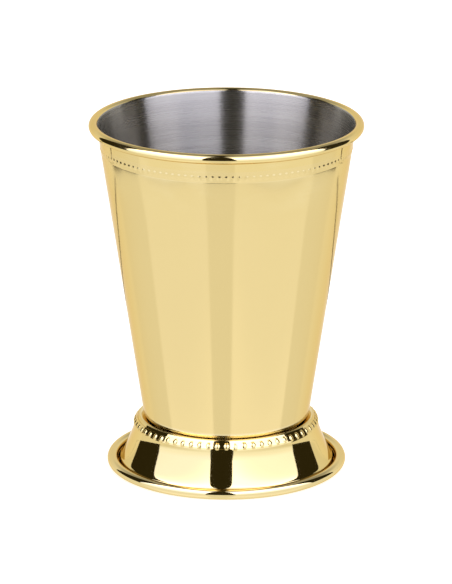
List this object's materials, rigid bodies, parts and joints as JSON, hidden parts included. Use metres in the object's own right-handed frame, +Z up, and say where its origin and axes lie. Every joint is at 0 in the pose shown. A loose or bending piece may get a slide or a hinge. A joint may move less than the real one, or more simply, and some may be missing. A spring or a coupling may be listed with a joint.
{
  "type": "julep cup",
  "caption": "Footed metal drinking cup: tapered bowl with a rolled lip, on a flared foot with a rolled edge and a strip of half-round pearls round its shoulder.",
  "frame": {"origin": "centre of the plane that the foot rests on", "axes": "+Z up along the cup's axis, towards the lip; X and Y are equal, because the cup is round"},
  "size_m": [0.085, 0.085, 0.111],
  "materials": {
    "satin_gold": "stainless steel, gold plated outside with a fine circular satin grain and a polished lip, bare brushed steel inside",
    "polished_gold": "stainless steel, gold plated and mirror polished",
    "braze": "brazing metal in the seam, plated over with the cup"
  },
  "bodies": {
    "root": {"cup_shell": "satin_gold", "foot_shell": "polished_gold", "pearl_strip": "polished_gold", "braze_ring": "braze"}
  },
  "joints": []
}
